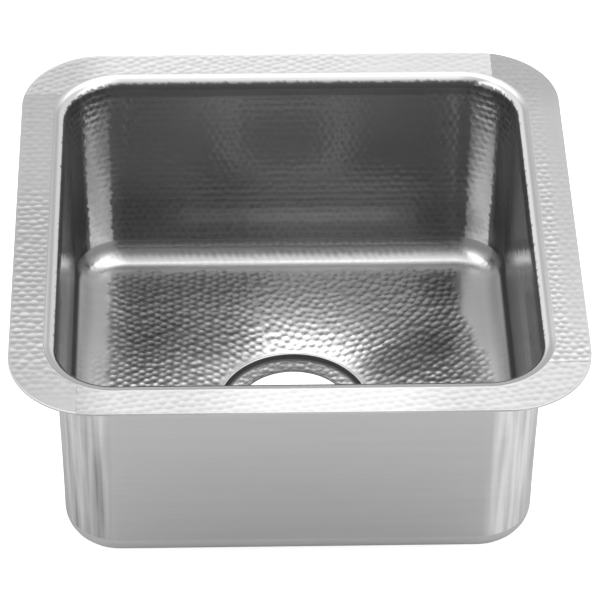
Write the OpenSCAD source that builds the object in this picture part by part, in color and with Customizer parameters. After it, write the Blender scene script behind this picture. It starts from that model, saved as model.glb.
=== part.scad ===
// Square bar sink: a welded bowl with a rolled top edge, a flat rim of four
// strips, a dished floor with a stepped drain seat, and sound pads underneath.
// Millimetres. +Z is up, -Y is the front, and the origin is the centre of the
// sink at its lowest face, the underside of the drain seat.

/* [Rim] */
// Width of the sink over the rim, left to right
sink_w = 419.1; // [390:0.1:500]
// Depth of the sink over the rim, front to back
sink_d = 419.1; // [390:0.1:500]
// Width of the flat rim, from its outer edge to the rolled edge of the bowl
rim_flat = 25.4; // [20:0.1:32]
// Radius of the outer corners of the rim
rim_corner_r = 63.5; // [50:0.5:72]
// Distance from the outer edge to the butt seam where two rim strips meet
rim_seam_in = 50; // [42:0.5:60]

/* [Bowl] */
// Thickness of the steel sheet
sheet = 1.5; // [1.2:0.1:2]
// Height from the foot of the coves to the top of the rim
bowl_depth = 177.8; // [120:0.1:230]
// Radius of the rolled edge, on its upper face
roll_r = 9.5; // [6:0.1:13]
// Radius of the upright corners, inside and at the top of the wall
bowl_corner_r = 42; // [36:0.5:56]
// How far each wall leans inwards between the rolled edge and the cove
wall_lean = 1.8; // [0.2:0.1:4]
// Radius of the cove between wall and floor, on the inside
cove_r = 18; // [12:0.5:30]

/* [Floor] */
// Diameter of the round dish in the floor that falls towards the drain
dish_d = 250; // [200:1:270]
// How far the dish falls from the flat floor to the drain seat
dish_fall = 6.5; // [2:0.1:8]

/* [Drain seat] */
// Diameter of the recess for the strainer's flange, at floor level
recess_d = 117; // [110:0.5:124]
// Depth of the recess, from the edge of the dish to the ledge
recess_depth = 5; // [4:0.1:8]
// How far the wall of the recess leans inwards on its way down
recess_lean = 0.5; // [0.2:0.1:3]
// Diameter of the drain hole
drain_hole_d = 88.9; // [80:0.1:95]
// Radius of the bend between the ledge and the wall, on the underside
seat_bend_r = 3; // [2.2:0.1:4]

/* [Sound pads] */
// Thickness of the rubber pads
pad_thick = 3; // [2:0.1:4]
// Gap between two neighbouring pads
pad_gap = 16; // [8:1:30]
// Distance from the middle of the sink to the outer edge of the pads
pad_reach = 118; // [105:1:124]
// Radius of the pads' corners
pad_corner_r = 10; // [4:0.5:16]
// Clearance between the pads and the drain seat
pad_drain_gap = 15; // [8:0.5:22]

/* [Hidden] */
$fn = 72;

// Heights, up from the underside of the drain seat
ledge_z = sheet;
dish_foot_z = ledge_z + recess_depth;
floor_z = dish_foot_z + dish_fall;
cove_top_z = floor_z + cove_r;
rim_z = floor_z + bowl_depth;

// Centres of the bowl's upright corners, which every swept section starts from
corner_x = sink_w / 2 - rim_flat - roll_r - bowl_corner_r;
corner_y = sink_d / 2 - rim_flat - roll_r - bowl_corner_r;

// Distances outwards from a corner centre
roll_end = bowl_corner_r + roll_r;
wall_foot = bowl_corner_r - wall_lean;
cove_foot = wall_foot - cove_r;

// Drain seat and dish, as radii from the middle of the sink
dish_r = dish_d / 2;
recess_r = recess_d / 2;
seat_r = recess_r + sheet;
hole_r = drain_hole_d / 2;
dish_steps = 10;
bend_steps = 6;

steel = "silver";
bright_steel = "gainsboro";
rubber = "dimgray";

// Height of the dish's upper face at a radius; it leaves the floor level
function dish_z(r) = floor_z - dish_fall * pow((dish_r - r) / (dish_r - seat_r), 2);

// Radii from the edge of the dish in to the drain seat
function dish_radii() = [for (i = [0 : dish_steps]) dish_r + (seat_r - dish_r) * i / dish_steps];

// Points of a strip that lies a given depth below the dish's upper face
function under_dish(depth) = [for (r = dish_radii()) [r, dish_z(r) - depth]];

function reversed(points) = [for (i = [len(points) - 1 : -1 : 0]) points[i]];

// A rectangle with true round corners, centred
module rounded_plate(w, d, r) {
    square([w - 2 * r, d], center = true);
    square([w, d - 2 * r], center = true);
    for (x = [-1, 1], y = [-1, 1]) {
        translate([x * (w / 2 - r), y * (d / 2 - r)]) circle(r);
    }
}

// Carries a section round the bowl's four sides and corners. The section is
// drawn outwards from a corner centre, with its own y upwards.
module swept_round_bowl() {
    for (i = [0 : 3]) {
        out = i % 2 == 0 ? corner_x : corner_y;
        along = i % 2 == 0 ? corner_y : corner_x;
        rotate(90 * i) translate([out, along, 0]) {
            rotate([90, 0, 0]) linear_extrude(2 * along) children();
            rotate_extrude(angle = 90) children();
        }
    }
}

// A quarter of a bent sheet, bounded by two arcs about its own centre
module quarter_bend(outer_r, inner_r) {
    intersection() {
        difference() {
            circle(outer_r);
            circle(inner_r);
        }
        square(outer_r);
    }
}

// Upright wall with its top edge rolled outwards, level with the rim
module wall_section() {
    translate([roll_end, rim_z - roll_r]) mirror([1, 0]) quarter_bend(roll_r, roll_r - sheet);
    polygon([
        [bowl_corner_r, rim_z - roll_r],
        [bowl_corner_r + sheet, rim_z - roll_r],
        [wall_foot + sheet, cove_top_z],
        [wall_foot, cove_top_z]
    ]);
}

module wall_band() {
    color(steel) swept_round_bowl() wall_section();
}

// Cove at the foot of the walls
module cove_section() {
    translate([cove_foot, cove_top_z]) mirror([0, 1]) quarter_bend(cove_r + sheet, cove_r);
}

// Level floor outside the dish
module floor_plate() {
    translate([0, 0, floor_z - sheet]) linear_extrude(sheet) difference() {
        rounded_plate(2 * (corner_x + cove_foot), 2 * (corner_y + cove_foot), cove_foot);
        circle(dish_r);
    }
}

// Round dish between the level floor and the drain seat
module dish() {
    rotate_extrude() polygon(concat(under_dish(0), reversed(under_dish(sheet))));
}

module floor_pan() {
    color(steel) {
        swept_round_bowl() cove_section();
        floor_plate();
        dish();
    }
}

// Stepped ring that the strainer's flange sits in, bent from one disc
module drain_seat() {
    ledge_r = recess_r - recess_lean;
    bend_r = ledge_r + sheet - seat_bend_r;
    bend = [for (i = [0 : bend_steps]) 90 * i / bend_steps];
    color(bright_steel) rotate_extrude() polygon(concat(
        [[hole_r, 0], [hole_r, ledge_z], [ledge_r - seat_bend_r + sheet, ledge_z]],
        [for (a = bend) [bend_r + (seat_bend_r - sheet) * sin(a), seat_bend_r - (seat_bend_r - sheet) * cos(a)]],
        [[recess_r, dish_foot_z], [seat_r, dish_foot_z], [seat_r, dish_foot_z - sheet]],
        [for (a = reversed(bend)) [bend_r + seat_bend_r * sin(a), seat_bend_r - seat_bend_r * cos(a)]]
    ));
}

// Flat ring that the four rim strips are cut from
module rim_outline() {
    difference() {
        rounded_plate(sink_w, sink_d, rim_corner_r);
        rounded_plate(2 * (corner_x + roll_end), 2 * (corner_y + roll_end), roll_end);
    }
}

// One rim strip: it carries the corner at its own start and stops at the seam
// before the next corner. A quarter turn leads from each strip to the next.
module rim_strip(turn) {
    out = (turn % 2 == 0 ? sink_d : sink_w) / 2;
    along = (turn % 2 == 0 ? sink_w : sink_d) / 2;
    color(bright_steel) translate([0, 0, rim_z - sheet]) linear_extrude(sheet) intersection() {
        rim_outline();
        rotate(-90 * turn) translate([-along, out - rim_seam_in]) square([2 * along - rim_seam_in, rim_seam_in]);
    }
}

module rim_back() {
    rim_strip(0);
}

module rim_right() {
    rim_strip(1);
}

module rim_front() {
    rim_strip(2);
}

module rim_left() {
    rim_strip(3);
}

// Outline of the pad in the back right quarter, cut round the drain seat
module pad_outline() {
    side = pad_reach - pad_gap / 2;
    difference() {
        translate([pad_gap / 2 + side / 2, pad_gap / 2 + side / 2]) rounded_plate(side, side, pad_corner_r);
        circle(seat_r + pad_drain_gap);
    }
}

// Rubber pad glued under the dish, which it follows
module sound_pad(turn) {
    color(rubber) rotate(90 * turn) intersection() {
        linear_extrude(floor_z) pad_outline();
        union() {
            rotate_extrude() polygon(concat(under_dish(sheet), reversed(under_dish(sheet + pad_thick))));
            translate([0, 0, floor_z - sheet - pad_thick]) linear_extrude(pad_thick) difference() {
                square(2 * pad_reach);
                circle(dish_r);
            }
        }
    }
}

module pad_back_right() {
    sound_pad(0);
}

module pad_back_left() {
    sound_pad(1);
}

module pad_front_left() {
    sound_pad(2);
}

module pad_front_right() {
    sound_pad(3);
}

wall_band();
floor_pan();
drain_seat();
rim_back();
rim_right();
rim_front();
rim_left();
pad_back_right();
pad_back_left();
pad_front_left();
pad_front_right();
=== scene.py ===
"""Square bar sink of hammered steel, on a pale studio floor."""

import math

import bpy
import numpy as np
from mathutils import Matrix, Vector


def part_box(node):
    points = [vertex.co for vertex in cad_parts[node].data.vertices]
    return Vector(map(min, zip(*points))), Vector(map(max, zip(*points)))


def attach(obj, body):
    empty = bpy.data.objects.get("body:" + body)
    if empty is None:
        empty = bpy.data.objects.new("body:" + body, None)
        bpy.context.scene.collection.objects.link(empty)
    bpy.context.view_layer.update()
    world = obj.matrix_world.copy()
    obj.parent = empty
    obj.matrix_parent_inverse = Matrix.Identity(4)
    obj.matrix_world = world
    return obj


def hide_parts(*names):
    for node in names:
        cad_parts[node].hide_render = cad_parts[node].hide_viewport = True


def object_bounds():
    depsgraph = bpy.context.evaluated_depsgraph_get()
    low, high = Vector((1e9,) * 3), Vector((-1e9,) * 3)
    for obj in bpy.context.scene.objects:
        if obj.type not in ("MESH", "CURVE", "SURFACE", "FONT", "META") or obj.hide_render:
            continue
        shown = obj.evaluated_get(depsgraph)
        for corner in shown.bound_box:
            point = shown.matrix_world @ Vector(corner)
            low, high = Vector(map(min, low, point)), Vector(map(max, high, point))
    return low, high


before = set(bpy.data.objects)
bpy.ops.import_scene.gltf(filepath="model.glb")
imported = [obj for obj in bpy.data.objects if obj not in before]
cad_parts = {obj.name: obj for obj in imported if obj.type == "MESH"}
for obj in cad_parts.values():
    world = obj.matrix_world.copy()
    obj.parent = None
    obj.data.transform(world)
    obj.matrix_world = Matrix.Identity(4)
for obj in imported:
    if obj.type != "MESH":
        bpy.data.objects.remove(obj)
CAD_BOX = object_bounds()

# Lengths are metres. The driving sizes are those of the construction.
MM = 0.001
SHEET = 1.5 * MM
RIM_FLAT = 25.4 * MM
RIM_CORNER_R = 63.5 * MM
RIM_SEAM_IN = 50 * MM
ROLL_R = 9.5 * MM
BOWL_CORNER_R = 42 * MM
WALL_LEAN = 1.8 * MM
COVE_R = 18 * MM
DISH_R = 125 * MM
DISH_FALL = 6.5 * MM
RECESS_R = 58.5 * MM
RECESS_LEAN = 0.5 * MM
SEAT_BEND_R = 3 * MM
HOLE_R = 44.45 * MM
PAD_THICK = 3 * MM
PAD_GAP = 16 * MM
PAD_REACH = 118 * MM
PAD_CORNER_R = 10 * MM
PAD_DRAIN_GAP = 15 * MM

# Heights and places follow from the frame.
HALF_X = CAD_BOX[1].x
HALF_Y = CAD_BOX[1].y
RIM_Z = CAD_BOX[1].z
COVE_TOP_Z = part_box("wall_band")[0].z
FLOOR_Z = COVE_TOP_Z - COVE_R
CORNER_X = HALF_X - RIM_FLAT - ROLL_R - BOWL_CORNER_R
CORNER_Y = HALF_Y - RIM_FLAT - ROLL_R - BOWL_CORNER_R
ROLL_END = BOWL_CORNER_R + ROLL_R
WALL_FOOT = BOWL_CORNER_R - WALL_LEAN
COVE_FOOT = WALL_FOOT - COVE_R
COVE_FOOT_Y = CORNER_Y + COVE_FOOT
SEAT_R = RECESS_R + SHEET
LEDGE_R = RECESS_R - RECESS_LEAN
DISH_FOOT_Z = FLOOR_Z - DISH_FALL

# How fine the skins are
WALL_STEP = 1.46 * MM
PAN_STEP = 1.22 * MM
RIM_STEP = 0.6 * MM
SEAT_STEPS_ROUND = 720
WALL_STEPS_DOWN = 91
RIM_STEPS_ACROSS = 39
EDGE_R = 0.25 * MM
PAD_EDGE_R = 0.5 * MM
SHARP_ANGLE = math.radians(50)

# Hammer marks
WALL_PITCH = 6.2 * MM
FLOOR_PITCH = 6.7 * MM
RIM_PITCH = 6.2 * MM
LEDGE_PITCH = 5.4 * MM
FLOOR_MARK_DEPTH = 0.17 * MM
WALL_MARK_DEPTH = 0.16 * MM
RIM_MARK_DEPTH = 0.2 * MM
LEDGE_MARK_DEPTH = 0.2 * MM
ROWS_TURN = math.radians(30)
PAINTED_LIT_SIDE = (-0.5, 0.87)
ARCS_CENTRE = (25 * MM, 149 * MM)
FIELDS_MEET = ((-32 * MM, 145 * MM), (-20 * MM, 71 * MM))

# How much painted shade darkens the steel's reflection on the floor, the walls, and the upright of the
# recess
FLOOR_PAINTED_SHADE = 0.04
WALL_PAINTED_SHADE = 0.33
RECESS_PAINTED_SHADE = 0.85

# How strong the painted shade and painted highlights are in the patches on the floor and on the walls
FLOOR_SHADE = 0.75
WALL_SHADE = 0.75

# Camera: the photograph's own viewpoint, worked out from the outline of the rim
CAMERA_PLACE = Vector((-0.0598, -2.0394, 1.6912 + RIM_Z))
CAMERA_PITCH = math.radians(40.912)
CAMERA_YAW = math.radians(1.793)
CAMERA_ROLL = math.radians(0.5815)
CAMERA_LENS = 212.28
SENSOR = 36.0


def make_camera():
    data = bpy.data.cameras.new("camera")
    data.lens = CAMERA_LENS
    data.sensor_width = SENSOR
    data.clip_end = 100
    camera = new_object("camera", data)
    yaw = Matrix.Rotation(CAMERA_YAW, 3, "Z")
    sin, cos = math.sin(CAMERA_PITCH), math.cos(CAMERA_PITCH)
    tilt = Matrix(((1, 0, 0), (0, -sin, -cos), (0, cos, -sin)))
    roll = Matrix.Rotation(CAMERA_ROLL, 3, "Z")
    right, down, ahead = roll @ tilt @ yaw
    axes = Matrix((right, -down, -ahead)).transposed()
    camera.matrix_world = Matrix.Translation(CAMERA_PLACE) @ axes.to_4x4()
    bpy.context.scene.camera = camera


def new_object(name, data):
    made = bpy.data.objects.new(name, data)
    bpy.context.scene.collection.objects.link(made)
    return made


# Node helpers

def add(tree, kind, inputs=None, **settings):
    """A node with its settings, and its inputs as numbers or as links"""
    node = tree.nodes.new(kind)
    for name, value in settings.items():
        setattr(node, name, value)
    wire(tree, node, inputs or {})
    return node


def wire(tree, node, inputs):
    """Sets a node's inputs, each to a number or to a link"""
    for key, value in inputs.items():
        if isinstance(value, bpy.types.NodeSocket):
            tree.links.new(value, node.inputs[key])
        else:
            node.inputs[key].default_value = value


def maths(tree, operation, *values):
    """The result of a Math node"""
    return add(tree, "ShaderNodeMath", dict(enumerate(values)), operation=operation).outputs[0]


def vector_maths(tree, operation, *values):
    """The result of a Vector Math node"""
    return add(tree, "ShaderNodeVectorMath", dict(enumerate(values)), operation=operation).outputs[0]


def scaled(tree, vector, factor):
    """A vector times a number"""
    return add(tree, "ShaderNodeVectorMath", {0: vector, "Scale": factor}, operation="SCALE").outputs[0]


def ramp_between(tree, value, low, high, to_low=0.0, to_high=1.0):
    """A value taken smoothly from one range to another"""
    spread = {"Value": value, "From Min": low, "From Max": high, "To Min": to_low, "To Max": to_high}
    return add(tree, "ShaderNodeMapRange", spread, interpolation_type="SMOOTHSTEP").outputs[0]


def mixed(tree, share, low, high):
    """A number between two others"""
    return add(tree, "ShaderNodeMix", {0: share, 2: low, 3: high}).outputs[0]


def noise(tree, place, scale, detail):
    """The value and the colour of a Noise node"""
    return add(tree, "ShaderNodeTexNoise", {"Vector": place, "Scale": scale, "Detail": detail}).outputs


def grey(tree, tone):
    return add(tree, "ShaderNodeCombineColor", {0: tone, 1: tone, 2: tone}).outputs[0]


def attribute(tree, name, kind):
    """A named value that the skin carries"""
    return add(tree, "GeometryNodeInputNamedAttribute", {"Name": name}, data_type=kind).outputs[0]


def stored(tree, points, name, value):
    """The points, or the skin, with a number stored at each point"""
    told = {"Geometry": points, "Name": name, "Value": value}
    node = add(tree, "GeometryNodeStoreNamedAttribute", told, data_type="FLOAT", domain="POINT")
    return node.outputs[0]


def sampled(tree, points, value, index, kind):
    """A value of one of the points"""
    asked = {0: points, "Value": value, "Index": index}
    return add(tree, "GeometryNodeSampleIndex", asked, data_type=kind).outputs[0]


def new_group(kind, name, inputs, outputs):
    """A node group with named inputs, each with its default, and named outputs"""
    tree = bpy.data.node_groups.new(name, kind)
    for label, socket, value in inputs:
        made = tree.interface.new_socket(label, in_out="INPUT", socket_type=socket)
        if value is not None:
            made.default_value = value
    for label, socket in outputs:
        tree.interface.new_socket(label, in_out="OUTPUT", socket_type=socket)
    return tree, tree.nodes.new("NodeGroupInput").outputs, tree.nodes.new("NodeGroupOutput")


# Hammering

def mark_points(tree, given):
    """Hammer marks as points: rows and columns, straight or in arcs round a centre"""
    index = tree.nodes.new("GeometryNodeInputIndex").outputs[0]
    column = maths(tree, "MODULO", index, given["Columns"])
    row = maths(tree, "FLOOR", maths(tree, "DIVIDE", index, given["Columns"]))
    stagger = maths(tree, "MULTIPLY", maths(tree, "MODULO", row, 2.0), given["Stagger"])
    again = maths(tree, "MODULO", column, given["Repeat After"])
    number = maths(tree, "MULTIPLY_ADD", row, given["Columns"], again)
    dice = add(
        tree,
        "FunctionNodeRandomValue",
        {"Min": (-1, -1, -1), "Max": (1, 1, 1), "ID": number, "Seed": given["Seed"]},
        data_type="FLOAT_VECTOR",
    ).outputs[0]
    thrown = add(tree, "ShaderNodeSeparateXYZ", {0: dice}).outputs
    across = maths(tree, "MULTIPLY_ADD", thrown[0], given["Jitter"], maths(tree, "ADD", column, stagger))
    down = maths(tree, "MULTIPLY_ADD", thrown[1], given["Jitter"], row)
    x = maths(tree, "MULTIPLY_ADD", across, given["Column Step"], given["Start X"])
    y = maths(tree, "MULTIPLY_ADD", down, given["Row Step"], given["Start Y"])
    straight = add(tree, "ShaderNodeCombineXYZ", {0: x, 1: y}).outputs[0]
    turn = maths(tree, "DIVIDE", x, y)
    aside = maths(tree, "MULTIPLY", maths(tree, "SINE", turn), y)
    ahead = maths(tree, "MULTIPLY", maths(tree, "COSINE", turn), maths(tree, "MULTIPLY", y, -1.0))
    round_centre = add(tree, "ShaderNodeCombineXYZ", {0: aside, 1: ahead}).outputs[0]
    round_centre = vector_maths(tree, "ADD", round_centre, given["Arcs Centre"])
    spot = add(
        tree, "ShaderNodeMix", {0: given["In Arcs"], 4: straight, 5: round_centre}, data_type="VECTOR"
    ).outputs[1]
    flow = noise(tree, spot, maths(tree, "DIVIDE", 1.0, given["Drift Size"]), 0.0)[1]
    flow = vector_maths(tree, "MULTIPLY", vector_maths(tree, "SUBTRACT", flow, (0.5, 0.5, 0.5)), (1, 1, 0))
    spot = vector_maths(tree, "ADD", spot, scaled(tree, flow, given["Drift"]))
    total = maths(tree, "MULTIPLY", given["Columns"], given["Rows"])
    points = add(tree, "GeometryNodePoints", {"Count": total, "Position": spot}).outputs[0]
    weight = maths(tree, "MULTIPLY_ADD", thrown[2], given["Unevenness"], 1.0)
    weighed = stored(tree, points, "weight", weight)
    past_end = maths(tree, "GREATER_THAN", maths(tree, "ABSOLUTE", turn), given["Arc Reach"])
    past_end = maths(tree, "MULTIPLY", past_end, given["In Arcs"])
    return add(
        tree, "GeometryNodeDeleteGeometry", {"Geometry": weighed, "Selection": past_end}, domain="POINT"
    ).outputs[0]


def sink_marks(tree, given, marks):
    """The skin with a round hollow at every mark. The attribute hollow tells how deep a point
    lies; the other is painted light and shade on each mark, lighter on one side, darker at its edge."""
    place = attribute(tree, given["Place"], "FLOAT_VECTOR")
    share = attribute(tree, given["Share"], "FLOAT")
    near = add(
        tree, "GeometryNodeProximity", {0: marks, "Sample Position": place}, target_element="POINTS"
    ).outputs["Distance"]
    nearest = add(tree, "GeometryNodeSampleNearest", {0: marks, "Sample Position": place}).outputs[0]
    weight = sampled(tree, marks, attribute(tree, "weight", "FLOAT"), nearest, "FLOAT")
    part = maths(tree, "MINIMUM", maths(tree, "DIVIDE", near, given["Reach"]), 1.0)
    hollow = maths(tree, "SUBTRACT", 1.0, maths(tree, "MULTIPLY", part, part))
    hollow = maths(tree, "POWER", hollow, given["Softness"])
    hollow = maths(tree, "MULTIPLY", maths(tree, "MULTIPLY", hollow, share), weight)
    position = tree.nodes.new("GeometryNodeInputPosition").outputs[0]
    centre = sampled(tree, marks, position, nearest, "FLOAT_VECTOR")
    offset = vector_maths(tree, "SUBTRACT", place, centre)
    offset = scaled(tree, offset, maths(tree, "DIVIDE", 1.0, given["Reach"]))
    lopsided = vector_maths(tree, "DOT_PRODUCT", offset, given["Painted Lit Side"]).node.outputs["Value"]
    edge = maths(tree, "POWER", part, 4.0)
    lopsided = maths(tree, "MULTIPLY", lopsided, maths(tree, "SUBTRACT", 1.0, edge))
    lopsided = maths(tree, "SUBTRACT", lopsided, maths(tree, "MULTIPLY", edge, given["Dark Gaps"]))
    lopsided = maths(tree, "MULTIPLY", lopsided, maths(tree, "MINIMUM", share, 1.0))
    normal = tree.nodes.new("GeometryNodeInputNormal").outputs[0]
    depth = maths(tree, "MULTIPLY", hollow, given["Depth"])
    push = scaled(tree, normal, maths(tree, "MULTIPLY", depth, -1.0))
    sunk = add(tree, "GeometryNodeSetPosition", {"Geometry": given["Skin"], "Offset": push}).outputs[0]
    hollow = maths(tree, "MAXIMUM", hollow, attribute(tree, "hollow", "FLOAT"))
    rubbed = maths(tree, "ADD", lopsided, attribute(tree, "rubbed", "FLOAT"))
    return stored(tree, stored(tree, sunk, "hollow", hollow), "rubbed", rubbed)


def make_hammer_tree():
    """Hammers a skin. The marks lie on the flattened sheet, where one attribute of the skin
    tells each point its place and another how much of a mark's depth it gets."""
    number, count = "NodeSocketFloat", "NodeSocketInt"
    tree, given, result = new_group(
        "GeometryNodeTree",
        "hammer_marks",
        [
            ("Skin", "NodeSocketGeometry", None),
            ("Place", "NodeSocketString", "mark_place"),
            ("Share", "NodeSocketString", "mark_share"),
            ("Columns", count, 10),
            ("Rows", count, 10),
            ("Repeat After", count, 10000),
            ("Column Step", number, WALL_PITCH),
            ("Row Step", number, WALL_PITCH),
            ("Stagger", number, 0.5),
            ("Start X", number, 0.0),
            ("Start Y", number, 0.0),
            ("In Arcs", number, 0.0),
            ("Arcs Centre", "NodeSocketVector", (0, 0, 0)),
            ("Arc Reach", number, 1.8),
            ("Jitter", number, 0.2),
            ("Drift", number, 0.0),
            ("Drift Size", number, 40 * MM),
            ("Unevenness", number, 0.25),
            ("Depth", number, WALL_MARK_DEPTH),
            ("Reach", number, 0.6 * WALL_PITCH),
            ("Softness", number, 1.5),
            # Painted light and shade on each mark: the side that is painted lighter, and how much darker
            # its edge is painted
            ("Painted Lit Side", "NodeSocketVector", (0, 0, 0)),
            ("Dark Gaps", number, 0.0),
            ("Seed", count, 1),
            ("Finish", "NodeSocketMaterial", None),
        ],
        [("Skin", "NodeSocketGeometry")],
    )
    sunk = sink_marks(tree, given, mark_points(tree, given))
    real = add(tree, "GeometryNodeRealizeInstances", {0: sunk}).outputs[0]
    done = add(tree, "GeometryNodeSetMaterial", {"Geometry": real, "Material": given["Finish"]})
    wire(tree, result, {0: done.outputs[0]})
    return tree


def hammer(piece, tree, finish, *passes):
    """Hammers a piece, once for each pass, and keeps the result as its plain mesh"""
    keys = {item.name: item.identifier for item in tree.interface.items_tree if item.in_out == "INPUT"}
    for sizes in passes:
        modifier = piece.modifiers.new("hammering", "NODES")
        modifier.node_group = tree
        for label, value in {**sizes, "Finish": finish}.items():
            modifier[keys[label.replace("_", " ")]] = value
    graph = bpy.context.evaluated_depsgraph_get()
    mesh = bpy.data.meshes.new_from_object(piece.evaluated_get(graph), depsgraph=graph)
    piece.modifiers.clear()
    old = piece.data
    piece.data = mesh
    bpy.data.meshes.remove(old)
    mesh.name = piece.name
    return piece


def covering(low_x, low_y, high_x, high_y, pitch, row_step):
    """Rows and columns of marks that cover a rectangle of the sheet"""
    return {
        "Start_X": low_x - pitch,
        "Start_Y": low_y - pitch,
        "Columns": round((high_x - low_x) / pitch) + 3,
        "Rows": round((high_y - low_y) / row_step) + 3,
        "Column_Step": pitch,
        "Row_Step": row_step,
    }


# Skins

def ramp(x, low, high):
    """Nought up to one limit and one from the other on, smoothly between them"""
    t = np.clip((x - low) / (high - low), 0, 1)
    return t * t * (3 - 2 * t)


def rise(length, low, high):
    """The same, with the limits in millimetres"""
    return ramp(length, low * MM, high * MM)


def fall(length, low, high):
    return 1 - rise(length, low, high)


def arc(centre, radius, start, end, steps):
    """Points of an arc, with its angles in degrees"""
    a = np.radians(np.linspace(start, end, steps + 1))
    return np.column_stack([centre[0] + radius * np.cos(a), centre[1] + radius * np.sin(a)])


def line(start, end, steps):
    return np.linspace(start, end, steps + 1)


def chain(*runs):
    """One list of points from runs that meet end to end"""
    return np.vstack([runs[0]] + [run[1:] for run in runs[1:]])


def lengths_along(points):
    """Length from the first point to each point"""
    return np.concatenate([[0], np.cumsum(np.linalg.norm(np.diff(points, axis=0), axis=1))])


def evenly(points, steps):
    """The same line, at even steps"""
    far = lengths_along(points)
    at = np.linspace(0, far[-1], steps + 1)
    return np.column_stack([np.interp(at, far, points[:, k]) for k in range(points.shape[1])])


def bowl_path(step):
    """Stations round the bowl: corner centre or its line, way outwards, and length so far.

    Each side and each corner has a number of stations that four divides.
    """
    corners = [(CORNER_X, -CORNER_Y), (CORNER_X, CORNER_Y), (-CORNER_X, CORNER_Y), (-CORNER_X, -CORNER_Y)]
    centres, outs, far = [], [], []
    so_far = 0.0
    bend = BOWL_CORNER_R * math.pi / 2
    for k in range(4):
        a, b = np.array(corners[k]), np.array(corners[(k + 1) % 4])
        side = np.linalg.norm(b - a)
        turn = math.pi / 2 * k
        for share in np.linspace(0, 1, 4 * round(side / step / 4), endpoint=False):
            centres.append(a + (b - a) * share)
            outs.append((math.cos(turn), math.sin(turn)))
            far.append(so_far + side * share)
        so_far += side
        for share in np.linspace(0, 1, 4 * round(bend / step / 4), endpoint=False):
            angle = turn + math.pi / 2 * share
            centres.append(b)
            outs.append((math.cos(angle), math.sin(angle)))
            far.append(so_far + bend * share)
        so_far += bend
    return np.array(centres), np.array(outs), np.array(far), so_far


def ring_faces(rings, strides):
    """Faces between neighbouring loops of points that run round a closed ring.

    Every stride-th station of a loop is a corner there, so coarse loops meet fine ones. Returns
    each face as pairs of station and loop, with the stations counted on past the last.
    """
    n, m = rings.shape[:2]
    faces = []
    for j in range(m):
        k = (j + 1) % m
        a, b = strides[j], strides[k]
        wide = max(a, b)
        stations = np.arange(0, n, wide)[:, None]
        going = [(stations + step, k) for step in range(0, wide + 1, b)]
        coming = [(stations + step, j) for step in range(wide, 0, -a)]
        corners = [(stations, j)] + going + coming
        at = np.hstack([spot for spot, _ in corners])
        loops = np.broadcast_to([loop for _, loop in corners], at.shape)
        faces.append(np.stack([at, loops], -1))
    return faces


def strip_faces(rings):
    """Faces along an open strip of sections, with both its ends closed"""
    n, m = rings.shape[:2]
    stations, loops = np.meshgrid(np.arange(n - 1), np.arange(m), indexing="ij")
    ahead = (loops + 1) % m
    corners = [(stations, loops), (stations, ahead), (stations + 1, ahead), (stations + 1, loops)]
    sides = np.stack([np.stack(pair, -1) for pair in corners], -2).reshape(-1, 4, 2)
    order = np.arange(m)
    first = np.stack([np.zeros(m, int), order[::-1]], -1)[None]
    last = np.stack([np.full(m, n - 1), order], -1)[None]
    return [sides, first, last]


def skin(name, rings, brush, carried, strides=None, lap=0.0):
    """A closed skin through rings of points, each ring a closed section.

    brush is each point's place along and across the brushing, and carried holds what else each
    point carries by name. With strides the rings close up, and lap is how far the brushing has
    come along after one turn.
    """
    n, m = rings.shape[:2]
    faces = ring_faces(rings, strides) if strides is not None else strip_faces(rings)
    used = np.zeros((n, m), bool)
    for j in range(m):
        used[:: strides[j] if strides is not None else 1, j] = True
    number = np.cumsum(used.ravel()).reshape(n, m) - 1
    points = rings[used]
    flat = brush[..., :2]
    listed, corner_uv = [], []
    quads = faces[0][:, :4] if strides is None else np.vstack([f[:, [0, 1, -2, -1]] for f in faces])
    turned = volume_of(points, number[quads[..., 0] % n, quads[..., 1]]) < 0
    for group in faces:
        if turned:
            group = group[:, ::-1]
        at, loops = group[..., 0], group[..., 1]
        listed += number[at % n, loops].tolist()
        uv = flat[at % n, loops].copy()
        uv[..., 0] += (at // n) * lap
        corner_uv.append(uv.reshape(-1, 2))
    mesh = bpy.data.meshes.new(name)
    mesh.from_pydata(points.tolist(), [], listed)
    layer = mesh.uv_layers.new(name="brush")
    layer.uv.foreach_set("vector", np.vstack(corner_uv).astype(np.float32).ravel())
    for label, values in carried.items():
        vector = np.ndim(values) == 3
        kind, key = ("FLOAT_VECTOR", "vector") if vector else ("FLOAT", "value")
        held = mesh.attributes.new(label, kind, "POINT")
        values = np.broadcast_to(values, rings.shape if vector else (n, m))
        held.data.foreach_set(key, np.ascontiguousarray(values[used], dtype=np.float32).ravel())
    mesh.shade_smooth()
    mesh.set_sharp_from_angle(angle=SHARP_ANGLE)
    return new_object(name, mesh)


def volume_of(points, quads):
    """Signed volume of the side faces, near enough to tell inside from outside"""
    a, b, c, d = (points[quads[:, k]] - points.mean(0) for k in range(4))
    return (np.cross(a, b) * c).sum() + (np.cross(a, c) * d).sum()


def swept(section, centres, outs):
    """Rings of a section, drawn outwards and up, carried round the bowl"""
    rings = np.zeros((len(centres), len(section), 3))
    rings[..., :2] = centres[:, None] + outs[:, None] * section[None, :, :1]
    rings[..., 2] = section[None, :, 1]
    return rings


def on_sheet(first, second):
    """Places on the flattened sheet, as vectors"""
    first, second = np.broadcast_arrays(first, second)
    return np.stack([first, second, np.zeros_like(first)], -1)


def turned_round(flat, angle):
    """Points turned about the drain's middle"""
    return flat @ np.array([[math.cos(angle), math.sin(angle)], [-math.sin(angle), math.cos(angle)]])


def dish_z(r):
    """Height of the floor's upper face at a distance from the drain's middle"""
    part = np.clip((DISH_R - r) / (DISH_R - SEAT_R), 0, 1)
    return FLOOR_Z - DISH_FALL * part**2


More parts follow.
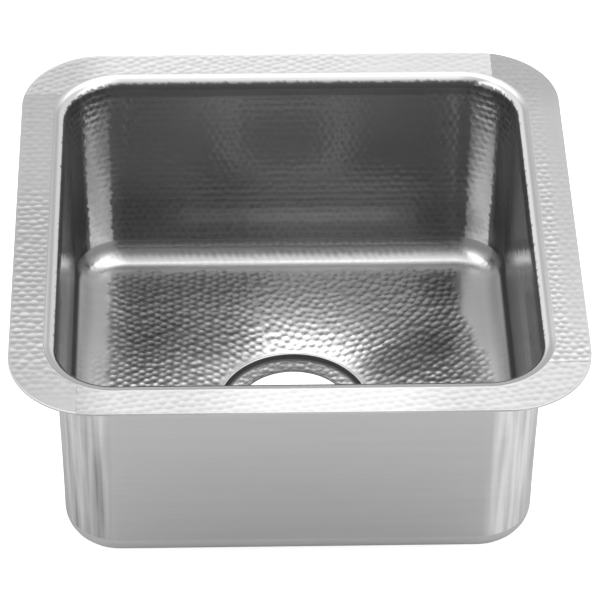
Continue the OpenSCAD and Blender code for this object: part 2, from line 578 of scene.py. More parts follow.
# The wall's marks run on over the cove, so both count their way down from the rim.
ROLL_LENGTH = ROLL_R * math.pi / 2
WALL_LENGTH = math.hypot(RIM_Z - ROLL_R - COVE_TOP_Z, WALL_LEAN)
COVE_LENGTH = COVE_R * math.pi / 2


def wall_passes(period):
    """Hammering of the walls and the cove: rows that go round the bowl, one mark below another"""
    columns = round(period / WALL_PITCH)
    step = period / columns
    depth = ROLL_LENGTH + WALL_LENGTH + COVE_LENGTH
    rows = covering(0, 0, period, depth, step, WALL_PITCH)
    rows.update(Repeat_After=columns, Jitter=0.13, Seed=3)
    rows.update(Depth=WALL_MARK_DEPTH, Reach=0.6 * WALL_PITCH)
    return rows


def wall_share(x, y, down):
    """How much of a mark's depth the wall gets: most in the upper back corners"""
    corner = rise(y - CORNER_Y, -15, 20) * rise(np.abs(x) - CORNER_X, 0, 14)
    band = rise(down, 110, 130) * ramp(y, 0, CORNER_Y)
    share = 1.0 + 3.0 * corner * fall(down, 28, 60) + 0.9 * band * (1 - corner)
    return share * ramp(down, 0.5 * ROLL_LENGTH, ROLL_LENGTH)


def ragged(count, seed):
    """Uneven steps from point to point, between -1 and 1"""
    steps = np.random.default_rng(seed).uniform(-1, 1, count)
    return 0.7 * steps + 0.3 * np.roll(steps, 1)


def tilt_from_back(outs):
    """How far round from straight back each station faces, in degrees"""
    return np.degrees(np.arctan2(np.abs(outs[:, 0]), outs[:, 1]))[:, None]


def roll_edge(count):
    """How far down the roll its painted highlight ends, uneven where the marks cut into it"""
    return ROLL_LENGTH * (0.57 + 0.09 * ragged(count, 11))[:, None]


def painted_corner_stripe(outs, down):
    """One on the painted bright stripes up the wall's back corners, nought elsewhere, with ragged edges"""
    rows = down.shape[1]
    tilt = tilt_from_back(outs)
    near = tilt + 2.2 * ragged(rows, 12)
    far = tilt + 2.2 * ragged(rows, 13)
    return ramp(near, 15, 18) * (1 - ramp(far, 44, 47)) * rise(down, 22, 50)


def side_painted_light(outs, x, y, z, down, painted_shading):
    """How much shade is painted on the side walls. The rim's painted shadow ends on them at a sloping
    line, with a painted lit edge below it, and they are painted dark at the foot and under the roll."""
    side = ramp(tilt_from_back(outs), 46, 52)
    upright = ramp(np.abs(outs[:, 0]), 0.5, 0.9)[:, None]
    below = 180 * MM - 0.86 * (y + 23 * MM) + 4 * MM * ragged(down.shape[1], 14) - z
    in_shade = side * fall(below, -2, 2) * rise(y, -45, -25)
    depth_of_shade = 0.88 + 0.07 * fall(y, 50, 110)
    lit = upright * rise(below, -2, 2) * fall(below, 6, 30)
    foot = side * fall(z - COVE_TOP_Z, 6, 18)
    painted_darker = np.where(x > 0, 0.4, 0.1 + 0.25 * fall(y, -20, 80))
    painted_light = np.minimum(painted_shading + upright * painted_darker, 0.82) - 0.45 * lit
    painted_light = np.maximum(painted_light, depth_of_shade * in_shade)
    painted_light = np.maximum(painted_light, 0.85 * foot)
    reach = ROLL_LENGTH * np.where(x > 0, 4.5, 2.4)
    under_roll = upright * rise(below, 20, 45) * (1 - ramp(down, reach, reach + ROLL_LENGTH))
    return np.maximum(painted_light, 0.88 * under_roll)


def roll_painted_highlight(outs, down):
    """How much brighter the roll's top is painted: a painted highlight, most at the back"""
    back = ramp(outs[:, 1], 0.8, 0.98)[:, None]
    right = ramp(outs[:, 0], 0.5, 0.9)[:, None]
    at_back = 0.4 * ramp(down, 0.3 * ROLL_LENGTH, 0.45 * ROLL_LENGTH)
    aside = (0.2 + 0.2 * right) * ramp(down, 0.2 * ROLL_LENGTH, 0.35 * ROLL_LENGTH)
    return back * at_back + (1 - back) * aside


def wall_painted_light(outs, x, y, down):
    """Painted light on the wall's inner face: a painted bright stripe up each back corner, painted
    shade on both its sides and under the roll, and a painted highlight on the roll's top"""
    z = RIM_Z - ROLL_R + ROLL_LENGTH - down
    stripe = painted_corner_stripe(outs, down)
    back = ramp(y, 0, CORNER_Y)
    left_back = ramp(-x, CORNER_X - 60 * MM, CORNER_X) * back
    band = rise(z, 42, 52) * fall(z, 56, 68) * fall(np.abs(x), 70, 110) * back
    painted_shading = WALL_PAINTED_SHADE + 0.08 * left_back - 0.16 * band + 0.28 * fall(z, 60, 110)
    painted_shading = painted_shading * (1 - stripe) - 0.72 * stripe
    painted_shading = np.maximum(painted_shading, 0.65 * (1 - ramp(down, 1.2 * ROLL_LENGTH, 1.8 * ROLL_LENGTH)))
    beside = side_painted_light(outs, x, y, z, down, painted_shading) * (1 - stripe) + painted_shading * stripe
    past = rise(down - roll_edge(len(outs)), -0.5, 0.5)
    return past * (painted_shading + WALL_SHADE * (beside - painted_shading)) - (1 - past) * roll_painted_highlight(outs, down)


def outside_corner(outs, down, end):
    """How much painted reflection streaking and how much painted highlight the outside of the wall gets
    where it bends
    """
    bend = ramp(np.minimum(np.abs(outs[:, 0]), np.abs(outs[:, 1])), 0.03, 0.35)[:, None]
    right = ramp(outs[:, 0], -0.2, 0.2)[:, None]
    low = rise(down - end, -150, -40)
    return bend, bend * (0.38 * right - 0.04 * (1 - right) + 0.12 * (1 - right) * low)


def make_wall_band(tree, finish):
    """Upright walls, with their top edge rolled outwards"""
    centres, outs, far, period = bowl_path(WALL_STEP)
    wall_top_z = RIM_Z - ROLL_R
    roll = (ROLL_END, wall_top_z)
    down = np.linspace(0, 1, WALL_STEPS_DOWN + 1)
    ease = 1 - ramp(down, 0, 1)
    height = wall_top_z - COVE_TOP_Z
    wall = np.column_stack([WALL_FOOT + WALL_LEAN * ease, wall_top_z - height * down])
    top = chain(arc(roll, ROLL_R, 90, 180, 12), wall)
    back = wall[::-11] + (SHEET, 0)
    back[0, 1] = COVE_TOP_Z
    back[-1, 1] = wall_top_z
    under = chain(back, arc(roll, ROLL_R - SHEET, 180, 90, 6))
    section = np.vstack([top, under])
    rings = swept(section, centres, outs)
    deep = lengths_along(section)
    face = np.arange(len(section)) < len(top)
    brush = on_sheet(far[:, None], deep[None])
    x, y, down = rings[..., 0], rings[..., 1], deep[None]
    painted_streaks, bright = outside_corner(outs, down, deep[-1])
    carried = {
        "mark_place": brush,
        "mark_share": np.where(face, wall_share(x, y, down), 0),
        "painted_light": np.where(face, wall_painted_light(outs, x, y, down), -bright),
        "painted_streaks": np.where(face, 0, painted_streaks),
        "satin": np.where(face, 0.3 * painted_corner_stripe(outs, down), 0),
    }
    piece = skin("wall_band_hammered", rings, brush, carried, np.where(face, 1, 2), period)
    return hammer(piece, tree, finish, wall_passes(period))


def floor_share(spot, up_cove):
    """The floor's marks stop at the cove, faint near it on the left and short of it at the back
    of the right side"""
    x, y = spot[..., 0], spot[..., 1]
    near = fall(y, 20, 70)
    uneven = 2.5 * MM * np.sin(y / (7 * MM)) * np.sin(y / (3.1 * MM) + 1)
    left = np.maximum(rise(x + uneven, -148, -142), 0.4 * rise(x, -164, -154) * near)
    right_end = 148 * MM - 16 * MM * rise(y, 45, 120) + 9 * MM * near
    right = fall(x + uneven - right_end, -4, 5)
    r = np.linalg.norm(spot, axis=-1)
    drain = rise(r - SEAT_R, 0.5, 4)
    deeper = 1 + 1.1 * rise(y, 50, 110) - 0.3 * fall(r, 75, 110) * fall(y, 40, 70)
    wavy = 1.5 * MM * np.sin(x / (2.7 * MM)) + 1.5 * MM * np.sin(x / (8.3 * MM))
    far = fall(y + wavy - COVE_FOOT_Y, -6, 0)
    return deeper * left * right * drain * far * (1 - ramp(up_cove, 0.0, 0.16))


# Soft oval patches of painted reflection on the floor, painted shade above nought and a painted
# highlight below it: the middle's x and y, half the width and half the depth in millimetres,
# and the strength
FLOOR_PATCHES = {
    "fan behind the drain": (14, 88, 62, 90, -0.75),
    "back": (38, 116, 95, 80, -0.95),
    "beside the fan": (-48, 62, 42, 42, 0.3),
    "left": (-120, 95, 48, 62, 0.3),
    "near left": (-120, 45, 50, 50, -0.12),
    "far left": (-62, 137, 62, 26, 0.2),
    "near right": (105, 8, 70, 36, 0.25),
    "far right": (120, 95, 22, 70, 0.22),
    "far right corner": (122, 134, 26, 32, 0.5),
}


def patch(spot, x_mm, y_mm, half_wide, half_deep):
    """A soft oval patch, one in its middle and nought outside"""
    x, y = spot[..., 0] / MM - x_mm, spot[..., 1] / MM - y_mm
    return 1 - ramp(np.hypot(x / half_wide, y / half_deep), 0.35, 1.0)


def side_coves(spot):
    """One on the coves at the sides, nought elsewhere, with a wavy edge between"""
    x, y = spot[..., 0], np.abs(spot[..., 1])
    wavy = 1.5 * MM * np.sin(y / (7 * MM)) + 1 * MM * np.sin(y / (2.9 * MM) + 1)
    wider = np.where(x > 0, 7 * MM, 0) * rise(y, 50, 100)
    return rise(np.abs(x) + wavy + wider, 143, 150) * fall(y, 138, 154)


def under_stripe(spot):
    """One on the back corners' coves, below the bright stripes of the walls, nought elsewhere"""
    x, y = np.abs(spot[..., 0]) - CORNER_X, spot[..., 1] - CORNER_Y
    tilt = np.degrees(np.arctan2(x, y))
    return ramp(tilt, 8, 18) * (1 - ramp(tilt, 48, 58)) * (y > 0)


def floor_satin(spot, up_cove):
    """Where rubbing brings the steel to a satin that takes light from everywhere: the coves at the
    sides and in the back corners, and a little at the back of the floor"""
    back = rise(spot[..., 1], 30, 130) * (1 - ramp(up_cove, 0.0, 0.05))
    corners = under_stripe(spot) * ramp(up_cove, 0.3, 0.55)
    return np.maximum(np.maximum(side_coves(spot), corners), 0.3 * back)


def floor_painted_light(spot, up_cove):
    """Painted light on the floor: a painted highlight behind the drain, painted shade toward the sides"""
    y = spot[..., 1]
    patches = 0.6 * np.maximum(patch(spot, 80, 42, 42, 25), 0.8 * patch(spot, 106, 56, 32, 24))
    for x_mm, y_mm, half_wide, half_deep, strength in FLOOR_PATCHES.values():
        patches = patches + strength * patch(spot, x_mm, y_mm, half_wide, half_deep)
    painted_shading = FLOOR_PAINTED_SHADE - 0.5 * rise(y, 55, 115) - 0.35 * rise(y - COVE_FOOT_Y, -9, -4)
    sides = side_coves(spot)
    painted_shading = painted_shading * (1 - sides) - np.where(spot[..., 0] > 0, 0.38, 0.28) * sides
    on_cove = ramp(up_cove, 0.0, 0.15)
    painted_shading = painted_shading * (1 - on_cove) + cove_painted_light(spot, up_cove, sides) * on_cove
    return painted_shading + FLOOR_SHADE * patches * (1 - sides) * (1 - on_cove)


def cove_painted_light(spot, up_cove, sides):
    """Painted light on the cove: painted highlights in the back corners, painted shade where it meets the
    walls
    """
    corners = patch(np.abs(spot), 152, 154, 27, 24) * (spot[..., 1] > 0)
    foot = -0.45 * corners * (1 - ramp(up_cove, 0.45, 0.7))
    middle = ramp(up_cove, 0.2, 0.35) * (1 - ramp(up_cove, 0.5, 0.8))
    top = 1.6 * WALL_PAINTED_SHADE * ramp(up_cove, 0.64, 0.9) - 0.2 * middle
    top = top * (1 - sides) * (1 - under_stripe(spot))
    top = top + sides * (1.05 * ramp(up_cove, 0.35, 0.55) - 0.2)
    return np.where(up_cove > 0, foot + top, 0)


def right_of_seam(spot):
    """How far each point lies to the right of the line where the two hammered fields meet"""
    start, end = FIELDS_MEET
    slope = (end[0] - start[0]) / (end[1] - start[1])
    return spot[..., 0] - start[0] - slope * (spot[..., 1] - start[1])


def floor_fields():
    """Hammering of the floor: rows on its left, and arcs round a place on its right"""
    wide = CORNER_X + WALL_FOOT
    reach = 1.5 * wide
    row_step = 0.87 * FLOOR_PITCH
    rows = covering(-reach, -reach, reach, reach, FLOOR_PITCH, row_step)
    rows.update(Place="rows_place", Share="rows_share", Drift=6 * MM, Drift_Size=60 * MM, Seed=5)
    longest = math.hypot(wide + ARCS_CENTRE[0], wide + ARCS_CENTRE[1])
    arcs = covering(-110 * MM, FLOOR_PITCH, 200 * MM, longest, FLOOR_PITCH, row_step)
    arcs.update(Place="mark_place", Share="arcs_share", Drift=5 * MM, Drift_Size=60 * MM, Seed=8)
    arcs.update(In_Arcs=1.0, Arcs_Centre=(ARCS_CENTRE[0], ARCS_CENTRE[1], 0))
    for field, turn in ((rows, ROWS_TURN), (arcs, 0)):
        field.update(Jitter=0.22, Unevenness=0.35, Depth=FLOOR_MARK_DEPTH, Reach=0.52 * FLOOR_PITCH)
        # Each mark is painted lighter on one side and darker at its edge, as light and shade
        side = Vector(PAINTED_LIT_SIDE) @ Matrix.Rotation(-turn, 2)
        field.update(Softness=1.0, Rubbed_Side=(side.x, side.y, 0), Dark_Gaps=0.35)
    return rows, arcs


def make_floor_pan(tree, finish):
    """Cove, floor and dish, down to the drain seat"""
    centres, outs, far, period = bowl_path(PAN_STEP)
    cove = (COVE_FOOT, COVE_TOP_Z)
    face = swept(arc(cove, COVE_R, 0, -90, 24), centres, outs)
    back = swept(arc(cove, COVE_R + SHEET, -90, 0, 8), centres, outs)
    foot = face[:, -1, :2]
    seat = foot / np.linalg.norm(foot, axis=1)[:, None] * SEAT_R

    def floor_rows(shares, drop):
        flat = foot[:, None] + (seat - foot)[:, None] * shares[None, :, None]
        r = np.linalg.norm(flat, axis=2)
        return np.concatenate([flat, (dish_z(r) - drop)[..., None]], axis=2)

    outer = floor_rows(np.linspace(0, 0.5, 41)[1:], 0)
    inner = floor_rows(np.linspace(0.5, 1, 41)[1:], 0)
    lower = floor_rows(np.linspace(1, 0, 13), SHEET)
    rings = np.concatenate([face, outer, inner, lower[:, :-1], back], axis=1)
    counts = [face.shape[1] + outer.shape[1], inner.shape[1], lower.shape[1] - 1 + back.shape[1]]
    strides = np.repeat([1, 2, 4], counts)
    spot, x, y = rings[..., :2], rings[..., 0], rings[..., 1]
    on_face = np.arange(rings.shape[1]) < counts[0] + counts[1]
    up_cove = np.maximum(rings[..., 2] - FLOOR_Z, 0) / COVE_R
    share = np.where(on_face, floor_share(spot, up_cove), 0)
    cove_deep = ROLL_LENGTH + WALL_LENGTH + np.linspace(0, COVE_LENGTH, face.shape[1])
    deep = np.full(rings.shape[1], cove_deep[-1])
    deep[: face.shape[1]] = cove_deep
    middle = rise(y - CORNER_Y, 0, 10) * fall(np.abs(x - 5 * MM), 70, 130)
    near_sides = (np.abs(x) > CORNER_X) * fall(y, 20, 80)
    cove_share = (0.5 + 0.6 * middle + 1.2 * near_sides) * ramp(up_cove, 0.05, 0.2)
    rows_place = turned_round(spot, ROWS_TURN)
    beyond = right_of_seam(spot)
    flat = on_sheet(x, y)
    carried = {
        "mark_place": flat,
        "rows_place": on_sheet(rows_place[..., 0], rows_place[..., 1]),
        "arcs_share": share * rise(beyond, -1, 2),
        "rows_share": share * fall(beyond, -4, 0),
        "cove_place": on_sheet(far[:, None], deep[None]),
        "cove_share": np.where(on_face, cove_share, 0),
        "satin": floor_satin(spot, up_cove),
        "painted_light": np.where(on_face, floor_painted_light(spot, up_cove), -0.14),
    }
    piece = skin("floor_pan_hammered", rings, flat, carried, strides)
    on_cove = {**wall_passes(period), "Place": "cove_place", "Share": "cove_share"}
    return hammer(piece, tree, finish, on_cove, *floor_fields())


def make_drain_seat(tree, finish):
    """Stepped ring that a strainer's flange sits in"""
    bend_r = LEDGE_R + SHEET - SEAT_BEND_R
    inner = SEAT_BEND_R - SHEET
    face = chain(
        line((HOLE_R, SHEET), (bend_r, SHEET), 16),
        arc((bend_r, SEAT_BEND_R), inner, -90, 0, 6),
        line((bend_r + inner, SEAT_BEND_R), (RECESS_R, DISH_FOOT_Z - EDGE_R), 5),
        line((RECESS_R, DISH_FOOT_Z - EDGE_R), (RECESS_R + EDGE_R, DISH_FOOT_Z), 1),
        line((RECESS_R + EDGE_R, DISH_FOOT_Z), (SEAT_R, DISH_FOOT_Z), 2),
    )
    back = chain(
        line((SEAT_R, DISH_FOOT_Z - SHEET), (bend_r + SEAT_BEND_R, SEAT_BEND_R), 3),
        arc((bend_r, SEAT_BEND_R), SEAT_BEND_R, 0, -90, 6),
        line((bend_r, 0), (HOLE_R, 0), 3),
    )
    section = np.vstack([face, back])
    angle = np.linspace(0, 2 * math.pi, SEAT_STEPS_ROUND, endpoint=False)
    outs = np.column_stack([np.cos(angle), np.sin(angle)])
    rings = swept(section, np.zeros_like(outs), outs)
    brush = on_sheet((angle * RECESS_R)[:, None], lengths_along(section)[None])
    r, z = section[:, 0], section[:, 1]
    on_face = np.arange(len(section)) < len(face)
    share = np.where(on_face & (z < SHEET + 0.01 * MM), rise(r - HOLE_R, 0.3, 2), 0)
    # Painted shade, near black, on the upright of the recess
    shade = np.where(on_face & (r < RECESS_R), rise(r - bend_r, -2.5, 0.5), 0)
    carried = {
        "mark_place": on_sheet(rings[..., 0], rings[..., 1]),
        "mark_share": share * fall(r - bend_r, -2, 0),
        "painted_light": RECESS_PAINTED_SHADE * shade,
    }
    strides = np.where(on_face, 1, 4)
    piece = skin("drain_seat_pressed", rings, brush, carried, strides, 2 * math.pi * RECESS_R)
    marks = covering(-RECESS_R, -RECESS_R, RECESS_R, RECESS_R, LEDGE_PITCH, LEDGE_PITCH)
    marks.update(Jitter=0.35, Depth=LEDGE_MARK_DEPTH, Reach=0.62 * LEDGE_PITCH, Seed=9)
    return hammer(piece, tree, finish, marks)


# How each rim strip was hammered: the way its marks lean, how long they are, and their depth
RIM_STRIPS = {
    "back": {"lean": 24, "stretch": 1.15, "depth": 1.8},
    "right": {"lean": 0, "stretch": 1.0, "depth": 0.9},
    "front": {"lean": 10, "stretch": 1.2, "depth": 1.4},
    "left": {"lean": 0, "stretch": 1.35, "depth": 1.1},
}


def rim_painted_light(side, x, y):
    """Painted shade and painted highlight on the rim from place to place"""
    if side == "back":
        return 0.24 * fall(x, -175, -135) + 0.04 * rise(x, 60, 110)
    if side == "left":
        near = 0.06 * fall(y, -150, -60)
        end = 0.06 * rise(x, -200, -162) * (y < -CORNER_Y)
        return 0.1 + 0.1 * fall(y, 0, 80) - near - end
    if side == "right":
        return 0.14 * rise(y, 120, 170) - 0.06 * fall(y, -120, 0)
    bright = rise(x, -90, -20) * fall(x, 60, 120)
    return 0.05 - 0.2 * bright + 0.05 * rise(x, 130, 180) + 0.27 * fall(x, -175, -130)


def rim_share(side, x, y):
    """How much of a mark's depth the rim gets from place to place"""
    if side == "back":
        return 1 - 0.55 * rise(x, 30, 80)
    if side == "left":
        return (1 - 0.7 * rise(y, 20, 50)) * rise(y, -210, -130)
    if side == "right":
        outer = rise(x, 191, 198) * rise(y, -160, -110)
        return (1.2 - 0.75 * rise(y, 55, 90)) * (1 - 0.75 * outer)
    return 0.6 + 0.4 * rise(np.abs(x - 20 * MM), 30, 90)


def make_rim_strip(side, turn, tree, finish):
    """One strip of the flat rim, from its start seam round its corner to its end seam"""
    cut = HALF_X - RIM_SEAM_IN
    inner_turn = math.degrees(math.asin((cut - CORNER_X) / ROLL_END))
    outer_turn = math.degrees(math.asin((cut - HALF_X + RIM_CORNER_R) / RIM_CORNER_R))
    far = HALF_X - RIM_CORNER_R
    edge = CORNER_X + ROLL_END
    corner_steps = round(math.radians(90 - inner_turn) * ROLL_END / RIM_STEP)
    side_steps = round(2 * CORNER_Y / RIM_STEP)
    end_steps = round(math.radians(inner_turn) * ROLL_END / RIM_STEP)
    inside = chain(
        evenly(arc((CORNER_X, CORNER_Y), ROLL_END, 90 - inner_turn, 0, 60), corner_steps),
        line((edge, CORNER_Y), (edge, -CORNER_Y), side_steps),
        evenly(arc((CORNER_X, -CORNER_Y), ROLL_END, 0, -inner_turn, 60), end_steps),
    )
    start = chain(
        arc((far, far), RIM_CORNER_R, 90 - outer_turn, 0, 60),
        line((HALF_X, far), (HALF_X, CORNER_Y), 1),
    )
    end = chain(
        line((HALF_X, -CORNER_Y), (HALF_X, -far), 1),
        arc((far, -far), RIM_CORNER_R, 0, -outer_turn, 60),
    )
    outside = chain(
        evenly(start, corner_steps),
        line((HALF_X, CORNER_Y), (HALF_X, -CORNER_Y), side_steps),
        evenly(end, end_steps),
    )
    wide = np.linalg.norm(outside - inside, axis=1)[:, None]
    rounding = np.array([[0, -EDGE_R], [0.3 * EDGE_R, -0.3 * EDGE_R], [EDGE_R, 0]])
    steps = np.linspace(0, 1, RIM_STEPS_ACROSS + 1)[1:]
    across = [np.broadcast_to(rounding[:, 0], (len(wide), 3))]
    across.append(EDGE_R + (wide - 2 * EDGE_R) * steps)
    across.append(wide - rounding[::-1][1:, 0])
    across.append(wide * np.array([1, 0.5, 0]))
    across = np.concatenate(across, axis=1)
    drop = np.concatenate([rounding[:, 1], 0 * steps, rounding[::-1][1:, 1], [-SHEET] * 3])
    spot = inside[:, None] + (outside - inside)[:, None] * (across / wide)[..., None]
    rings = np.zeros(across.shape + (3,))
    rings[..., :2] = turned_round(spot, math.radians(90 - 90 * turn))
    rings[..., 2] = RIM_Z + drop
    look = RIM_STRIPS[side]
    lean = math.radians(look["lean"])
    x, y = rings[..., 0], rings[..., 1]
    along = (x * math.cos(lean) + y * math.sin(lean)) / look["stretch"]
    place = on_sheet(along, y * math.cos(lean) - x * math.sin(lean))
    on_top = np.arange(across.shape[1]) < len(rounding) + len(steps)
    share = np.where(on_top, rise(across, 0.3, 1.5), 0)
    share = share * rise(wide - across, 0.3, 2.5) * rim_share(side, x, y)
    brush = on_sheet(spot[..., 1], spot[..., 0])
    carried = {"mark_place": place, "mark_share": share, "painted_light": rim_painted_light(side, x, y)}
    piece = skin(f"rim_{side}_hammered", rings, brush, carried)
    low, high = place.min(axis=(0, 1)), place.max(axis=(0, 1))
    marks = covering(low[0], low[1], high[0], high[1], RIM_PITCH, 0.9 * RIM_PITCH)
    marks.update(Jitter=0.2, Drift=5 * MM, Seed=20 + turn)
    marks.update(Depth=RIM_MARK_DEPTH * look["depth"], Reach=0.62 * RIM_PITCH)
    return hammer(piece, tree, finish, marks)


def make_pad(name, turn, finish):
    """Rubber pad glued under the dish, with an arc cut out of it round the drain seat"""
    low, high = PAD_GAP / 2, PAD_REACH
    cut = SEAT_R + PAD_DRAIN_GAP
    reach = math.degrees(math.asin(low / cut))
    start = math.sqrt(cut**2 - low**2)
    r = PAD_CORNER_R
    outline = chain(
        line((low, start), (low, high - r), 6),
        arc((low + r, high - r), r, 180, 90, 8),
        line((low + r, high), (high - r, high), 20),
        arc((high - r, high - r), r, 90, 0, 8),
        line((high, high - r), (high, low + r), 20),
        arc((high - r, low + r), r, 0, -90, 8),
        line((high - r, low), (start, low), 6),
    )
    inside = evenly(arc((0, 0), cut, 90 - reach, reach, 60), len(outline) - 1)
    shares = np.linspace(0, 1, 16)
    grid = inside[:, None] + (outline - inside)[:, None] * shares[None, :, None]
    under = dish_z(np.linalg.norm(grid, axis=2)) - SHEET
    lowered = grid.copy()
    lowered[:, -1] = lowered[:, -1] * 0.97 + lowered[:, -2] * 0.03
    upper = np.dstack([grid, under])
    side = np.dstack([grid[:, -1:], under[:, -1:] - PAD_THICK + PAD_EDGE_R])
    lower = np.dstack([lowered, under - PAD_THICK])
    rings = np.concatenate([upper, side, lower[:, ::-1]], axis=1)[1:-1]
    rings[..., :2] = turned_round(rings[..., :2], math.radians(90 * turn))
    piece = skin(name, rings, rings.copy(), {})
    piece.data.materials.append(finish)
    return piece


# Materials

def new_material(name):
    """A material and its node tree"""
    material = bpy.data.materials.new(name)
    material.use_nodes = True
    return material, material.node_tree


def lumps(tree, height, strength, distance):
    """The normal of a Bump node"""
    given = {"Height": height, "Strength": strength, "Distance": distance}
    return add(tree, "ShaderNodeBump", given).outputs[0]


def make_grain_group():
    """Fine lines left by brushing, along the first of the brush coordinates"""
    number = "NodeSocketFloat"
    tree, given, result = new_group(
        "ShaderNodeTree",
        "brushed_grain",
        [("Lines per Metre", number, 2500.0), ("Line Length", number, 0.03), ("Strength", number, 1.0)],
        [("Tone", number), ("Height", number), ("Streak", number), ("Painted Streak Pattern", number)],
    )
    uv = add(tree, "ShaderNodeUVMap", uv_map="brush").outputs[0]
    parts = add(tree, "ShaderNodeSeparateXYZ", {0: uv}).outputs
    along = maths(tree, "DIVIDE", parts[0], given["Line Length"])
    across = maths(tree, "MULTIPLY", parts[1], given["Lines per Metre"])
    fine = add(tree, "ShaderNodeCombineXYZ", {0: along, 1: across}).outputs[0]
    grain = noise(tree, fine, 1.0, 3.0)[0]
    wide = vector_maths(tree, "MULTIPLY", fine, (0.15, 0.06, 1.0))
    streak = noise(tree, wide, 1.0, 2.0)[0]
    # A pattern of upright streaks, for the painted reflection streaks on the wall's outside corners
    upright = vector_maths(tree, "MULTIPLY", uv, (150.0, 7.0, 0.0))
    painted_streak_pattern = noise(tree, upright, 1.0, 2.5)[0]
    centred = maths(tree, "SUBTRACT", grain, 0.5)
    tone = maths(tree, "MULTIPLY", centred, given["Strength"])
    wire(tree, result, {"Tone": tone, "Height": grain, "Streak": streak, "Painted Streak Pattern": painted_streak_pattern})
    return tree


def make_steel(name, grain_group, colour, roughness, anisotropy, bump, radial):
    """Brushed stainless steel; radial brushing runs round the bowl, the other along the sheet"""
    material, tree = new_material(name)
    shader = tree.nodes["Principled BSDF"]
    grain = add(tree, "ShaderNodeGroup", node_tree=grain_group).outputs
    carried = ("hollow", "painted_light", "rubbed", "painted_streaks", "satin")
    reads = [add(tree, "ShaderNodeAttribute", attribute_name=label).outputs["Fac"] for label in carried]
    hollow, painted_light, rubbed, painted_streaks, satin = reads
    tone = maths(tree, "MULTIPLY_ADD", grain["Tone"], 0.1, colour)
    tone = maths(tree, "MULTIPLY_ADD", maths(tree, "SUBTRACT", grain["Streak"], 0.5), 0.06, tone)
    # Painted shade: the tone is darker in the hollows of the marks
    tone = maths(tree, "MULTIPLY_ADD", hollow, -0.06, tone)
    # Painted shade darkens the steel's tone, and painted highlight (below nought) brightens it
    tone = maths(tree, "MULTIPLY", tone, maths(tree, "SUBTRACT", 1.0, painted_light))
    # Painted light and shade on each mark: lighter on one side, darker at its edge
    tone = maths(tree, "MULTIPLY", tone, maths(tree, "ADD", rubbed, 1.0))
    # Painted reflection streaks on the outside corners
    painted_streak_pattern = maths(tree, "MULTIPLY", maths(tree, "SUBTRACT", grain["Painted Streak Pattern"], 0.5), painted_streaks)
    tone = maths(tree, "MULTIPLY_ADD", painted_streak_pattern, 1.3, tone)
    rough = maths(tree, "MULTIPLY_ADD", grain["Streak"], 0.08, roughness - 0.04)
    rough = maths(tree, "MULTIPLY_ADD", satin, 0.2, rough)
    # Where shade is painted on, the steel is also made less metallic
    painted_shade_dulling = maths(tree, "MAXIMUM", painted_light, 0.0)
    painted_shade_dulling = maths(tree, "MULTIPLY", painted_shade_dulling, painted_shade_dulling)
    metal = maths(tree, "MULTIPLY_ADD", satin, -0.45, 1.0)
    metal = maths(tree, "MULTIPLY_ADD", painted_shade_dulling, -0.9, metal)
    if radial:
        tangent = add(tree, "ShaderNodeTangent", direction_type="RADIAL", axis="Z").outputs[0]
    else:
        tangent = add(tree, "ShaderNodeTangent", direction_type="UV_MAP", uv_map="brush").outputs[0]
    wire(tree, shader, {
        "Base Color": grey(tree, tone),
        "Metallic": metal,
        "Roughness": rough,
        "Specular IOR Level": 0.0,
        "Anisotropic": anisotropy,
        "Anisotropic Rotation": 0.25,
        "Tangent": tangent,
        "Normal": lumps(tree, grain["Height"], bump, 0.05 * MM),
    })
    return material


def make_rubber():
    """Black rubber with a fine moulded grain and a little dust"""
    material, tree = new_material("pad_rubber")
    spot = add(tree, "ShaderNodeTexCoord").outputs["Object"]
    grain = noise(tree, spot, 1400.0, 2.0)[0]
    dust = noise(tree, spot, 45.0, 4.0)[0]
    wire(tree, tree.nodes["Principled BSDF"], {
        "Base Color": grey(tree, ramp_between(tree, dust, 0.35, 0.75, 0.018, 0.04)),
        "Roughness": ramp_between(tree, dust, 0.3, 0.8, 0.62, 0.8),
        "Normal": lumps(tree, grain, 0.5, 0.15 * MM),
    })
    return material


# Studio

FLOOR_REACH = 5.0
UNDER_SINK_R = 130 * MM


def make_pale_floor():
    """White paper that stays white to the eye round the sink, with painted shade under the sink"""
    material, tree = new_material("pale_floor")
    seen = add(tree, "ShaderNodeLightPath").outputs["Is Camera Ray"]
    spot = add(tree, "ShaderNodeTexCoord").outputs["Object"]
    far = vector_maths(tree, "LENGTH", spot).node.outputs["Value"]
    tone = ramp_between(tree, far, 0.7 * UNDER_SINK_R, UNDER_SINK_R, 0.2, 0.72)
    wire(tree, tree.nodes["Principled BSDF"], {
        "Base Color": grey(tree, mixed(tree, seen, tone, 0.8)),
        "Roughness": 0.9,
        "Specular IOR Level": 0.0,
        "Emission Color": (1, 1, 1, 1),
        "Emission Strength": maths(tree, "MULTIPLY", seen, 0.8),
    })
    return material


def make_floor():
    mesh = bpy.data.meshes.new("studio_floor")
    turns = np.linspace(0, 2 * math.pi, 97)[:-1]
    ring = [(FLOOR_REACH * math.cos(a), FLOOR_REACH * math.sin(a), -0.3 * MM) for a in turns]
    mesh.from_pydata(ring, [], [list(range(len(ring)))])
    mesh.materials.append(make_pale_floor())
    new_object("studio_floor", mesh)


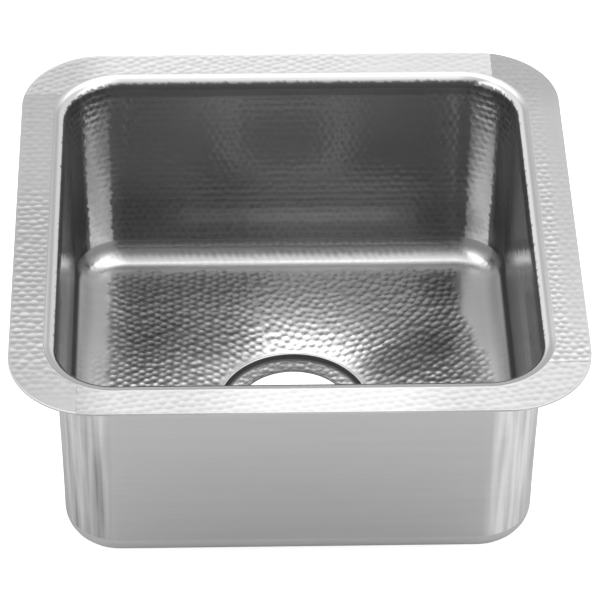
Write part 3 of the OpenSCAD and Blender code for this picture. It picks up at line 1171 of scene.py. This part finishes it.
def make_world():
    """A pale tent: brightest overhead and behind, with a dark opening where the camera stands"""
    world = bpy.data.worlds.new("studio")
    bpy.context.scene.world = world
    world.use_nodes = True
    tree = world.node_tree
    tree.nodes.clear()
    way = add(tree, "ShaderNodeTexCoord").outputs["Generated"]
    x, y, z = add(tree, "ShaderNodeSeparateXYZ", {0: way}).outputs
    behind = mixed(tree, ramp_between(tree, z, 0.6, 0.8), 0.68, 1.9)
    front = maths(tree, "POWER", maths(tree, "ADD", maths(tree, "MINIMUM", y, 0.0), 1.0), 1.05)
    front = maths(tree, "MULTIPLY", front, 1.45)
    front = maths(tree, "MULTIPLY", front, ramp_between(tree, x, -0.36, 0.36, 0.6, 1.4))
    middle = mixed(tree, ramp_between(tree, y, -0.05, 0.3), front, behind)
    side = ramp_between(tree, y, -0.05, 0.2, 1.35, 0.85)
    aside = ramp_between(tree, maths(tree, "ABSOLUTE", x), 0.36, 0.5)
    light = mixed(tree, aside, middle, side)
    seen = add(tree, "ShaderNodeLightPath").outputs["Is Camera Ray"]
    light = mixed(tree, seen, light, 1.0)
    shine = add(tree, "ShaderNodeBackground", {"Color": (1, 1, 1, 1), "Strength": light}).outputs[0]
    add(tree, "ShaderNodeOutputWorld", {0: shine})


def finish_piece(piece, node):
    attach(piece, "root")
    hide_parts(node)


def main():
    bpy.context.scene.view_settings.view_transform = "Standard"
    make_camera()
    make_floor()
    make_world()
    hammer_tree = make_hammer_tree()
    grain = make_grain_group()
    wall_steel = make_steel("wall_steel", grain, 0.62, 0.16, 0.4, 0.08, True)
    pan_steel = make_steel("floor_steel", grain, 0.62, 0.25, 0.25, 0.2, True)
    seat_steel = make_steel("seat_steel", grain, 0.94, 0.28, 0.0, 0.2, True)
    rim_steel = make_steel("rim_steel", grain, 0.72, 0.33, 0.9, 0.3, False)
    rubber = make_rubber()
    finish_piece(make_wall_band(hammer_tree, wall_steel), "wall_band")
    finish_piece(make_floor_pan(hammer_tree, pan_steel), "floor_pan")
    finish_piece(make_drain_seat(hammer_tree, seat_steel), "drain_seat")
    for turn, side in enumerate(("back", "right", "front", "left")):
        finish_piece(make_rim_strip(side, turn, hammer_tree, rim_steel), f"rim_{side}")
    for turn, quarter in enumerate(("back_right", "back_left", "front_left", "front_right")):
        finish_piece(make_pad(f"pad_{quarter}_rubber", turn, rubber), f"pad_{quarter}")


main()
